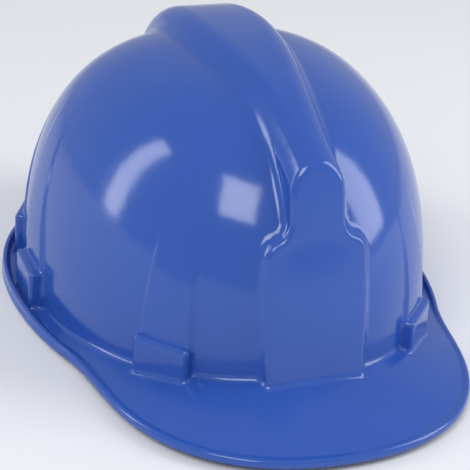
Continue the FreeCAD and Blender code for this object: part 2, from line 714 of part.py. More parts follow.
def housing_cover():
    half = HOUSING_HEIGHT / 2
    a = HOUSING_HALF_ANGLE
    plate = sector(HOUSING_SPLIT + 0.05, COVER_OUT, RATCHET_LEVEL - half, RATCHET_LEVEL + half, -a, a)
    cuts = [turned(PINION_SHAFT_RADIUS + SHAFT_CLEARANCE, HOUSING_SPLIT - 2, COVER_OUT + 2)]
    for centre, out in cover_screw_places():
        cuts.append(radial_peg(centre, out, SCREW_RADIUS + STUD_CLEARANCE, HOUSING_SPLIT - 1, COVER_OUT + 1))
        cuts.append(radial_peg(centre, out, SCREW_HEAD_RADIUS + STUD_CLEARANCE,
                               COVER_OUT - SCREW_HEAD_HEIGHT, COVER_OUT + 1))
    return plate.cut(cuts)


def cover_screws():
    screws = []
    for centre, out in cover_screw_places():
        head = radial_peg(centre, out, SCREW_HEAD_RADIUS, COVER_OUT - SCREW_HEAD_HEIGHT + 0.05, COVER_OUT - 0.1)
        shank = radial_peg(centre, out, SCREW_RADIUS, HOUSING_SPLIT - 3.6, COVER_OUT - SCREW_HEAD_HEIGHT + 0.1)
        screws.append(head.fuse(shank))
    return Part.makeCompound(screws)


PINION_IN = BAND_OUTER + 0.3
PINION_OUT = HOUSING_SPLIT - 0.45
SQUARE_HALF = 2.6


def knob_square(half, y0, y1):
    return Part.makeBox(2 * half, y1 - y0, 2 * half,
                        BAND_CENTRE + Vector(-half, y0, RATCHET_LEVEL - half))


def pinion():
    """Gear with a pivot pin inside and a shaft that ends in a square for the knob."""
    gear = Part.Face(Part.makePolygon(pinion_outline(PINION_IN))).extrude(Vector(0, PINION_OUT - PINION_IN, 0))
    gear.translate(BAND_CENTRE + UP * RATCHET_LEVEL)
    pin = turned(PINION_PIN_RADIUS, HOUSING_IN + 0.4, PINION_IN + 0.5)
    shaft = turned(PINION_SHAFT_RADIUS, PINION_OUT - 0.5, KNOB_IN - 0.1)
    square = knob_square(SQUARE_HALF, KNOB_IN - 0.5, KNOB_OUT - 5.5)
    bore = turned(SCREW_RADIUS + STUD_CLEARANCE, KNOB_OUT - 11.0, KNOB_OUT)
    return gear.fuse([pin, shaft, square]).cut(bore)


def knob():
    """Fluted cup with a hub that fits the pinion's square, and a recess for its screw."""
    cup = turned(KNOB_RADIUS, KNOB_IN, KNOB_OUT)
    rim = [e for e in cup.Edges if e.CenterOfMass.y > BAND_CENTRE.y + KNOB_OUT - 0.01]
    cup = cup.makeFillet(1.8, rim)
    hollow = turned(KNOB_RADIUS - KNOB_WALL - 2.0, KNOB_IN - 1, KNOB_OUT - KNOB_WALL)
    hollow = hollow.cut(turned(KNOB_HUB_RADIUS, KNOB_IN - 2, KNOB_OUT))
    cuts = [hollow, knob_square(SQUARE_HALF + 0.1, KNOB_IN - 1, KNOB_OUT - 5.3),
            turned(SCREW_RADIUS + STUD_CLEARANCE, KNOB_IN, KNOB_OUT + 1),
            turned(SCREW_HEAD_RADIUS + STUD_CLEARANCE, KNOB_OUT - 2.4, KNOB_OUT + 1)]
    for i in range(KNOB_FLUTES):
        t = 2 * math.pi * i / KNOB_FLUTES
        flute = turned(KNOB_FLUTE_RADIUS, KNOB_IN - 1, KNOB_OUT + 1)
        reach = KNOB_RADIUS + KNOB_FLUTE_RADIUS * 0.55
        cuts.append(flute.translated(Vector(reach * math.sin(t), 0, reach * math.cos(t))))
    return cup.cut(cuts)


def knob_screw():
    head = turned(SCREW_HEAD_RADIUS, KNOB_OUT - 2.3, KNOB_OUT - 2.3 + SCREW_HEAD_HEIGHT)
    return head.fuse(turned(SCREW_RADIUS, KNOB_OUT - 10.6, KNOB_OUT - 2.2))


def nape_pad():
    half = HOUSING_HEIGHT / 2 - 1
    outer = HOUSING_IN - SOFT_GAP
    return sector(outer - NAPE_PAD_WALL, outer, RATCHET_LEVEL - half, RATCHET_LEVEL + half,
                  -NAPE_PAD_HALF_ANGLE, NAPE_PAD_HALF_ANGLE)


def assembly():
    nodes = {"shell": shell()}
    stations = {(end, name): station for end, name, station in KEYS}
    for (end, name), station in stations.items():
        nodes["key_%s_%s" % (end, name)] = key(end, station)
        nodes["hanger_%s_%s" % (end, name)] = hanger(end, station)
    nodes["key_rivets"] = Part.makeCompound([key_rivet(end, s) for (end, _), s in stations.items()])
    nodes["band_studs"] = Part.makeCompound([band_stud(end, s) for (end, _), s in stations.items()])
    for name, other, top in (("left", "right", CROWN_TOP), ("right", "left", CROWN_TOP + CROWN_GAP + WEBBING_WALL)):
        nodes["crown_strap_%s" % name] = crown_strap(("front", stations["front", name]),
                                                     ("rear", stations["rear", other]),
                                                     top - WEBBING_WALL / 2)
    nodes["crown_pad"] = crown_pad()
    nodes["headband"] = headband()
    nodes["sweatband"] = sweatband()
    for name in SIDES:
        nodes["keeper_%s" % name] = keeper(SIDES[name])
        nodes["rack_strap_%s" % name] = rack_strap(name)
    nodes["ratchet_base"] = housing_base()
    nodes["ratchet_cover"] = housing_cover()
    nodes["cover_screws"] = cover_screws()
    nodes["ratchet_pinion"] = pinion()
    nodes["ratchet_knob"] = knob()
    nodes["knob_screw"] = knob_screw()
    nodes["nape_pad"] = nape_pad()
    return nodes


os.makedirs("parts", exist_ok=True)
for node, shape in assembly().items():
    shape.exportStep("parts/%s.step" % node)
    size = shape.BoundBox
    print("%-20s solids %d valid %s volume %8.0f  x %7.1f %7.1f  y %7.1f %7.1f  z %6.1f %6.1f" % (
        node, len(shape.Solids), shape.isValid(), shape.Volume, size.XMin, size.XMax,
        size.YMin, size.YMax, size.ZMin, size.ZMax))
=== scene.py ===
"""Safety helmet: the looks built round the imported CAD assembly.

The shell is modelled as one moulding from signed distances and blended fillets. The pieces of
the harness keep their CAD shape and take a moulded, plated, woven or towelling finish.
"""
import logging
import math
from dataclasses import dataclass, field
from enum import Enum
from typing import Callable, Iterable, Optional, Union

import bpy
import numpy as np
from mathutils import Matrix, Vector


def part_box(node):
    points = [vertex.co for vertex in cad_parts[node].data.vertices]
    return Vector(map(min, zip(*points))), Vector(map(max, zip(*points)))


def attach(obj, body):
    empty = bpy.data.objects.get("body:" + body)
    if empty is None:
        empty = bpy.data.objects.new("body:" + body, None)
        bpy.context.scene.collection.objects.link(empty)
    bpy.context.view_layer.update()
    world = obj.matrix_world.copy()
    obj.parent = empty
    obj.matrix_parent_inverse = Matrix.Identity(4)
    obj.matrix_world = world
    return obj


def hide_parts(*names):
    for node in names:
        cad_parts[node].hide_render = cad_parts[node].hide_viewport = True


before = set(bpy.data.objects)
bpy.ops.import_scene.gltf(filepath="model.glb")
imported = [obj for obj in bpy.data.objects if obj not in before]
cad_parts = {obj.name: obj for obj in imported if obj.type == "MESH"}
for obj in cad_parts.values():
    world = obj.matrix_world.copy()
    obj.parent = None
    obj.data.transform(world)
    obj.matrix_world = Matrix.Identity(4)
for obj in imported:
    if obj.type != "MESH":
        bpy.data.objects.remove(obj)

LOG = logging.getLogger("helmet")
MM = 0.001
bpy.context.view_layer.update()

Array = np.ndarray
Colour = tuple[float, float, float]
Number = Union[float, "Socket"]


# ------------------------------------------------------------------------------ shader tools
class Socket:
    """An output socket of a shader node, with operators that add Math nodes."""

    def __init__(self, shader: "Shader", output: bpy.types.NodeSocket) -> None:
        """Wrap one output of a node in shader."""
        self.shader = shader
        self.output = output

    def _maths(self, operation: str, first: Number, second: Number) -> "Socket":
        """Return first and second joined by one Math node."""
        return self.shader.node("ShaderNodeMath", {"operation": operation}, {0: first, 1: second})

    def __add__(self, other: Number) -> "Socket":
        """Return the sum."""
        return self._maths("ADD", self, other)

    __radd__ = __add__

    def __mul__(self, other: Number) -> "Socket":
        """Return the product."""
        return self._maths("MULTIPLY", self, other)

    __rmul__ = __mul__

    def __sub__(self, other: Number) -> "Socket":
        """Return this less the other."""
        return self._maths("SUBTRACT", self, other)

    def __rsub__(self, other: Number) -> "Socket":
        """Return the other less this."""
        return self._maths("SUBTRACT", other, self)

    def __truediv__(self, other: Number) -> "Socket":
        """Return the quotient."""
        return self._maths("DIVIDE", self, other)

    def __rtruediv__(self, other: Number) -> "Socket":
        """Return the other divided by this."""
        return self._maths("DIVIDE", other, self)

    def sine(self) -> "Socket":
        """Return the sine of this."""
        return self._maths("SINE", self, 0.0)

    def absolute(self) -> "Socket":
        """Return this without its sign."""
        return self._maths("ABSOLUTE", self, 0.0)

    def clamped(self, low: float = 0.0, high: float = 1.0) -> "Socket":
        """Return this kept between low and high."""
        return self.shader.node("ShaderNodeClamp", {}, {"Value": self, "Min": low, "Max": high})


class Shader:
    """A material under construction: one Principled shader and the nodes that feed it."""

    def __init__(self, name: str) -> None:
        """Start an empty node material called name."""
        self.material = bpy.data.materials.new(name)
        self.material.use_nodes = True
        self.tree = self.material.node_tree
        self.tree.nodes.clear()
        self.output = self.tree.nodes.new("ShaderNodeOutputMaterial")
        self.principled = self.tree.nodes.new("ShaderNodeBsdfPrincipled")
        self.tree.links.new(self.principled.outputs["BSDF"], self.output.inputs["Surface"])
        self._object_coordinates: Optional[Socket] = None

    def feed(self, target: bpy.types.NodeSocket, value: object) -> None:
        """Link or set one input socket.

        Args:
            target: the input socket.
            value: a Socket to link, or a number, tuple or vector to set.
        """
        if isinstance(value, Socket):
            self.tree.links.new(value.output, target)
        else:
            target.default_value = value

    def node(self, kind: str, settings: dict, inputs: dict, output: Union[int, str] = 0) -> Socket:
        """Add one node.

        Args:
            kind: the node's type name.
            settings: attributes, set before the sockets; "stops" sets a ramp's colours.
            inputs: socket name or index to the value or Socket that feeds it.
            output: which output to return.

        Returns:
            The chosen output.
        """
        made = self.tree.nodes.new(kind)
        for key, value in settings.items():
            if key == "stops":
                self._set_stops(made.color_ramp, value)
            else:
                setattr(made, key, value)
        for key, value in inputs.items():
            self.feed(made.inputs[key], value)
        return Socket(self, made.outputs[output])

    @staticmethod
    def _set_stops(ramp: bpy.types.ColorRamp, stops: list[tuple[float, float]]) -> None:
        """Give a ramp grey stops, as (position, brightness) pairs."""
        while len(ramp.elements) < len(stops):
            ramp.elements.new(0.5)
        for element, (position, grey) in zip(ramp.elements, stops):
            element.position = position
            element.color = (grey, grey, grey, 1.0)

    def coordinates(self) -> Socket:
        """Return the Object coordinates, in metres."""
        if self._object_coordinates is None:
            self._object_coordinates = self.node("ShaderNodeTexCoord", {}, {}, "Object")
        return self._object_coordinates

    def noise(self, scale: float, detail: float = 3.0, roughness: float = 0.55,
              stretch: tuple[float, float, float] = (1.0, 1.0, 1.0)) -> Socket:
        """Return a noise of the given scale in cycles a metre, stretched along the axes."""
        place = self.node("ShaderNodeMapping", {}, {"Vector": self.coordinates(), "Scale": stretch})
        return self.node("ShaderNodeTexNoise", {}, {"Vector": place, "Scale": scale, "Detail": detail,
                                                    "Roughness": roughness})

    def ramp(self, value: Socket, stops: list[tuple[float, float]]) -> Socket:
        """Return value passed through a grey ramp."""
        return self.node("ShaderNodeValToRGB", {"stops": stops}, {"Fac": value})

    def mixed(self, factor: Number, first: Union[Colour, Socket], second: Union[Colour, Socket]) -> Socket:
        """Return two colours mixed by factor."""
        def whole(colour: Union[Colour, Socket]) -> object:
            return colour if isinstance(colour, Socket) else (*colour, 1.0)
        return self.node("ShaderNodeMix", {"data_type": "RGBA"},
                         {0: factor, 6: whole(first), 7: whole(second)}, 2)

    def bump(self, height: Socket, distance: float, strength: float = 1.0,
             under: Optional[Socket] = None) -> Socket:
        """Return a normal pushed about by height, which spans distance metres."""
        inputs = {"Height": height, "Distance": distance, "Strength": strength}
        if under is not None:
            inputs["Normal"] = under
        return self.node("ShaderNodeBump", {}, inputs)

    def finish(self, **sockets: object) -> bpy.types.Material:
        """Feed the Principled shader's sockets and return the material.

        Args:
            sockets: names with underscores for spaces, such as Base_Color.

        Returns:
            The finished material.
        """
        for name, value in sockets.items():
            target = self.principled.inputs[name.replace("_", " ")]
            if not isinstance(value, Socket) and isinstance(value, tuple) and len(value) == 3 \
                    and target.type == "RGBA":
                value = (*value, 1.0)
            self.feed(target, value)
        return self.material


# ---------------------------------------------------------------------------------- finishes
@dataclass(frozen=True)
class GlossMoulding:
    """Injection-moulded polyethylene with a high gloss, faint flow marks and light scuffs."""

    name: str
    colour: Colour
    deep: Colour
    roughness: float = 0.14

    def material(self) -> bpy.types.Material:
        """Return the finish as a material."""
        shader = Shader(self.name)
        flow = shader.noise(14.0, 3.0, 0.5, (1.0, 0.45, 1.6))
        cloud = shader.noise(38.0, 4.0, 0.6)
        fine = shader.noise(420.0, 3.0, 0.6)
        scuff = shader.ramp(shader.noise(160.0, 5.0, 0.72, (1.0, 0.22, 1.0)), [(0.60, 0.0), (0.74, 1.0)])
        tone = shader.mixed((flow * 0.6 + cloud * 0.4 - 0.25).clamped(), self.colour, self.deep)
        gloss = self.roughness + (cloud - 0.5) * 0.05 + scuff * 0.07 + (fine - 0.5) * 0.02
        ripple = shader.bump(flow, 0.0012, 0.35)
        peel = shader.bump(shader.noise(210.0, 2.0, 0.4), 0.00010, 0.35, ripple)
        return shader.finish(Base_Color=tone, Roughness=gloss.clamped(0.05, 0.6), Normal=peel,
                             IOR=1.52, Specular_IOR_Level=0.5, Subsurface_Weight=0.0)


@dataclass(frozen=True)
class SatinPlastic:
    """Moulded nylon or polyethylene with a soft sheen and a fine spark-eroded grain."""

    name: str
    colour: Colour
    shade: Colour
    roughness: float = 0.42
    grain: float = 0.00006

    def material(self) -> bpy.types.Material:
        """Return the finish as a material."""
        shader = Shader(self.name)
        cloud = shader.noise(60.0, 4.0, 0.6)
        grain = shader.noise(1500.0, 2.0, 0.5)
        scuff = shader.ramp(shader.noise(260.0, 5.0, 0.7, (1.0, 0.3, 1.0)), [(0.58, 0.0), (0.76, 1.0)])
        tone = shader.mixed((cloud * 1.4 - 0.3).clamped(), self.colour, self.shade)
        rough = self.roughness + (cloud - 0.5) * 0.12 - scuff * 0.08
        normal = shader.bump(grain, self.grain, 0.8)
        return shader.finish(Base_Color=tone, Roughness=rough.clamped(0.1, 0.9), Normal=normal, IOR=1.5)


@dataclass(frozen=True)
class PlatedSteel:
    """Zinc-plated screw steel with turning marks."""

    name: str = "zinc_plated_steel"
    colour: Colour = (0.56, 0.56, 0.55)

    def material(self) -> bpy.types.Material:
        """Return the finish as a material."""
        shader = Shader(self.name)
        cloud = shader.noise(900.0, 3.0, 0.6)
        brushed = shader.noise(2600.0, 2.0, 0.5, (1.0, 0.1, 1.0))
        tone = shader.mixed(cloud, self.colour, tuple(c * 0.72 for c in self.colour))
        normal = shader.bump(brushed, 0.00002, 0.6)
        return shader.finish(Base_Color=tone, Roughness=(0.24 + cloud * 0.2).clamped(), Metallic=1.0,
                             Normal=normal)


@dataclass(frozen=True)
class Weave:
    """Woven webbing, on a UV map whose U and V run across and along it in metres."""

    name: str
    warp: Colour
    weft: Colour
    pitch: float = 0.0011

    def material(self) -> bpy.types.Material:
        """Return the finish as a material."""
        shader = Shader(self.name)
        place = shader.node("ShaderNodeUVMap", {"uv_map": "Weave"}, {})
        across = shader.node("ShaderNodeSeparateXYZ", {}, {0: place}, 0)
        along = shader.node("ShaderNodeSeparateXYZ", {}, {0: place}, 1)
        turn = 2 * math.pi / self.pitch
        ribs = (across * turn).sine()
        picks = (along * turn * 0.5 + ribs * 0.9).sine()
        over = (ribs * picks * 0.5 + 0.5).clamped()
        fuzz = shader.noise(2400.0, 2.0, 0.6)
        tone = shader.mixed((over * 0.75 + fuzz * 0.35).clamped(), self.weft, self.warp)
        height = over * 0.7 + ribs.absolute() * 0.3 + fuzz * 0.15
        normal = shader.bump(height, 0.00022, 0.9)
        return shader.finish(Base_Color=tone, Roughness=(0.72 + fuzz * 0.16).clamped(), Normal=normal,
                             Sheen_Weight=0.25, Sheen_Roughness=0.45, Specular_IOR_Level=0.25)


@dataclass(frozen=True)
class TerryFoam:
    """Brushed towelling over foam."""

    name: str
    colour: Colour
    light: Colour

    def material(self) -> bpy.types.Material:
        """Return the finish as a material."""
        shader = Shader(self.name)
        loops = shader.node("ShaderNodeTexVoronoi", {"feature": "F1"},
                            {"Vector": shader.coordinates(), "Scale": 1250.0}, "Distance")
        tufts = shader.noise(700.0, 4.0, 0.65)
        wear = shader.noise(45.0, 3.0, 0.5)
        tone = shader.mixed((loops * 0.7 + wear * 0.45 - 0.1).clamped(), self.colour, self.light)
        normal = shader.bump(loops + tufts * 0.8, 0.0004, 0.8)
        return shader.finish(Base_Color=tone, Roughness=(0.82 + tufts * 0.15).clamped(), Normal=normal,
                             Sheen_Weight=0.35, Sheen_Roughness=0.5, Specular_IOR_Level=0.2)


class Finish(Enum):
    """The finishes of the helmet's pieces."""

    SHELL = GlossMoulding("royal_blue_moulding", (0.026, 0.090, 0.400), (0.020, 0.070, 0.330))
    BAND = SatinPlastic("white_band_plastic", (0.70, 0.71, 0.70), (0.62, 0.63, 0.62))
    KEY = SatinPlastic("white_key_plastic", (0.74, 0.75, 0.73), (0.66, 0.67, 0.65), 0.36)
    RACK = SatinPlastic("white_rack_plastic", (0.66, 0.67, 0.66), (0.58, 0.59, 0.58), 0.40)
    RATCHET = SatinPlastic("black_ratchet_plastic", (0.020, 0.020, 0.022), (0.034, 0.034, 0.036),
                           0.46, 0.00010)
    KNOB = SatinPlastic("black_knob_plastic", (0.018, 0.018, 0.020), (0.032, 0.032, 0.034), 0.50, 0.00012)
    GEAR = SatinPlastic("natural_acetal", (0.72, 0.70, 0.62), (0.64, 0.62, 0.55), 0.34)
    RIVET = SatinPlastic("black_rivet_plastic", (0.030, 0.030, 0.033), (0.045, 0.045, 0.048), 0.38)
    STEEL = PlatedSteel()
    WEBBING = Weave("blue_webbing", (0.030, 0.075, 0.260), (0.012, 0.030, 0.120))
    SWEATBAND = TerryFoam("black_towelling", (0.012, 0.012, 0.014), (0.050, 0.050, 0.054))
    FOAM = TerryFoam("grey_foam_cover", (0.045, 0.046, 0.050), (0.105, 0.108, 0.114))


_MADE: dict[Finish, bpy.types.Material] = {}


def finish_material(finish: Finish) -> bpy.types.Material:
    """Return a finish's material, made the first time it is asked for."""
    if finish not in _MADE:
        _MADE[finish] = finish.value.material()
    return _MADE[finish]


# -------------------------------------------------------------------------------- mesh tools
def dress(piece: bpy.types.Object, finish: Finish) -> bpy.types.Object:
    """Give every slot of a piece one finish and return the piece."""
    material = finish_material(finish)
    piece.data.materials.clear()
    piece.data.materials.append(material)
    return piece


def new_piece(name: str, points: Array, faces: Iterable[tuple[int, ...]],
              smooth: bool = True) -> bpy.types.Object:
    """Make a mesh object at the origin.

    Args:
        name: the object's name.
        points: vertices in metres, one row each.
        faces: vertex numbers of each face.
        smooth: whether its faces are shaded smooth.

    Returns:
        The object, linked to the scene.
    """
    mesh = bpy.data.meshes.new(name)
    mesh.from_pydata([tuple(map(float, p)) for p in points], [], [tuple(map(int, f)) for f in faces])
    mesh.validate()
    if smooth:
        mesh.polygons.foreach_set("use_smooth", [True] * len(mesh.polygons))
    mesh.update()
    piece = bpy.data.objects.new(name, mesh)
    bpy.context.scene.collection.objects.link(piece)
    return piece


def apply_modifiers(piece: bpy.types.Object) -> bpy.types.Object:
    """Replace a piece's mesh with its evaluated one and drop its modifiers."""
    graph = bpy.context.evaluated_depsgraph_get()
    mesh = bpy.data.meshes.new_from_object(piece.evaluated_get(graph))
    piece.modifiers.clear()
    piece.data = mesh
    return piece


# ------------------------------------------------------------------- distance-field modelling
def power(value: Array, exponent: float) -> Array:
    """Return value raised to a power, keeping its sign."""
    return np.sign(value) * np.abs(value) ** exponent


def smooth_step(value: Array) -> Array:
    """Return 0 below 0, 1 above 1 and a smooth rise between."""
    t = np.clip(value, 0.0, 1.0)
    return t * t * (3.0 - 2.0 * t)


def joined(first: Array, second: Array, fillet: Number) -> Array:
    """Return the union of two distance fields, with a concave fillet of that radius."""
    a = np.maximum(fillet - first, 0.0)
    b = np.maximum(fillet - second, 0.0)
    return np.maximum(fillet, np.minimum(first, second)) - np.sqrt(a * a + b * b)


def overlap(first: Array, second: Array, rounding: Number) -> Array:
    """Return the intersection of two distance fields, with its edge rounded to that radius."""
    a = np.maximum(first + rounding, 0.0)
    b = np.maximum(second + rounding, 0.0)
    return np.minimum(-rounding, np.maximum(first, second)) + np.sqrt(a * a + b * b)


def rounded_box(sides: Iterable[Array], rounding: float) -> Array:
    """Return a box's distance field from its signed distances to each pair of sides."""
    grown = [side + rounding for side in sides]
    outside = np.sqrt(sum(np.maximum(g, 0.0) ** 2 for g in grown))
    deepest = grown[0]
    for g in grown[1:]:
        deepest = np.maximum(deepest, g)
    return outside + np.minimum(deepest, 0.0) - rounding


@dataclass
class DistanceMesher:
    """Turns a distance field into a mesh whose vertices lie on its surface.

    The field is sampled on a regular grid, one vertex is set in each cell that the surface
    crosses, and each vertex is then moved along the field's slope until it is on the surface.
    """

    distance: Callable[[Array, Array, Array], Array]
    step: float
    low: tuple[float, float, float]
    high: tuple[float, float, float]
    corners: Array = field(init=False)

    def __post_init__(self) -> None:
        """Number the eight corners of a cell."""
        self.corners = np.array([(i, j, k) for i in (0, 1) for j in (0, 1) for k in (0, 1)])

    def _axes(self) -> list[Array]:
        """Return the grid's coordinates along each axis."""
        return [np.arange(a, b + self.step, self.step) for a, b in zip(self.low, self.high)]

    def _values(self, axes: list[Array]) -> Array:
        """Return the field on the whole grid."""
        x, y, z = axes
        return self.distance(x[:, None, None], y[None, :, None], z[None, None, :])

    def _cell_points(self, values: Array, cells: Array, axes: list[Array]) -> Array:
        """Return the mean of the surface's crossings of each cell's edges."""
        total = np.zeros((len(cells), 3))
        count = np.zeros(len(cells))
        for first in range(8):
            for second in range(first + 1, 8):
                ends = self.corners[[first, second]]
                if np.abs(ends[0] - ends[1]).sum() != 1:
                    continue
                a = values[tuple((cells + ends[0]).T)]
                b = values[tuple((cells + ends[1]).T)]
                crosses = (a < 0) != (b < 0)
                share = np.where(crosses, a / np.where(crosses, a - b, 1.0), 0.0)
                place = ends[0] + (ends[1] - ends[0]) * share[:, None]
                total += np.where(crosses[:, None], place, 0.0)
                count += crosses
        base = np.array([axis[0] for axis in axes])
        return base + (cells + total / count[:, None]) * self.step

    def _faces(self, inside: Array, number: Array) -> Array:
        """Return one quad for each grid edge that the surface crosses, facing outwards."""
        faces = []
        for axis in range(3):
            other = [a for a in range(3) if a != axis]
            near = np.take(inside, range(inside.shape[axis] - 1), axis)
            far = np.take(inside, range(1, inside.shape[axis]), axis)
            edges = np.argwhere(near != far)
            edges = edges[(edges[:, other[0]] > 0) & (edges[:, other[1]] > 0)]
            leaving = near[tuple(edges.T)]
            ring = []
            for du, dv in ((1, 1), (0, 1), (0, 0), (1, 0)):
                cell = edges.copy()
                cell[:, other[0]] -= du
                cell[:, other[1]] -= dv
                ring.append(number[tuple(cell.T)])
            quads = np.stack(ring, 1)
            flip = leaving == (axis == 1)
            quads[flip] = quads[flip][:, ::-1]
            faces.append(quads)
        return np.concatenate(faces)

    def slope(self, points: Array, reach: float = 0.02) -> tuple[Array, Array]:
        """Return the field and its gradient at points."""
        x, y, z = points.T
        here = self.distance(x, y, z)
        steps = [reach * np.eye(3)[axis][:, None] for axis in range(3)]
        ahead = [self.distance(*(np.array([x, y, z]) + step)) for step in steps]
        behind = [self.distance(*(np.array([x, y, z]) - step)) for step in steps]
        return here, (np.stack(ahead, 1) - np.stack(behind, 1)) / (2 * reach)

    def settle(self, points: Array, rounds: int = 3) -> Array:
        """Return points moved on to the surface."""
        for _ in range(rounds):
            value, gradient = self.slope(points)
            steep = np.maximum((gradient ** 2).sum(1), 0.1)
            move = (value / steep)[:, None] * gradient
            length = np.linalg.norm(move, axis=1, keepdims=True)
            points = points - move * np.minimum(1.0, 0.7 * self.step / np.maximum(length, 1e-9))
        return points

    def build(self) -> tuple[Array, Array]:
        """Return the vertices and quads of the surface."""
        axes = self._axes()
        values = self._values(axes)
        inside = values < 0
        shape = [n - 1 for n in inside.shape]
        count = np.zeros(shape, np.int8)
        for i, j, k in self.corners:
            count += inside[i:i + shape[0], j:j + shape[1], k:k + shape[2]]
        cells = np.argwhere((count > 0) & (count < 8))
        number = np.full(shape, -1, np.int64)
        number[tuple(cells.T)] = np.arange(len(cells))
        points = self._cell_points(values, cells, axes)
        return self.settle(points), self._faces(inside, number)


# ------------------------------------------------------------------------------------- shell
class Pocket(Enum):
    """What a side boss holds."""

    FRONT_KEY = "front_key"
    REAR_KEY = "rear_key"
    ACCESSORY = "accessory"


@dataclass
class Boss:
    """A box-shaped boss on the side of the dome, with its pocket and the rib above it. Millimetres."""

    kind: Pocket
    origin: Array
    out: Array
    proud: float
    top: float
    pocket_in: float
    pocket_out: float
    notch: float
    rib_top: float
    rib_lean: float


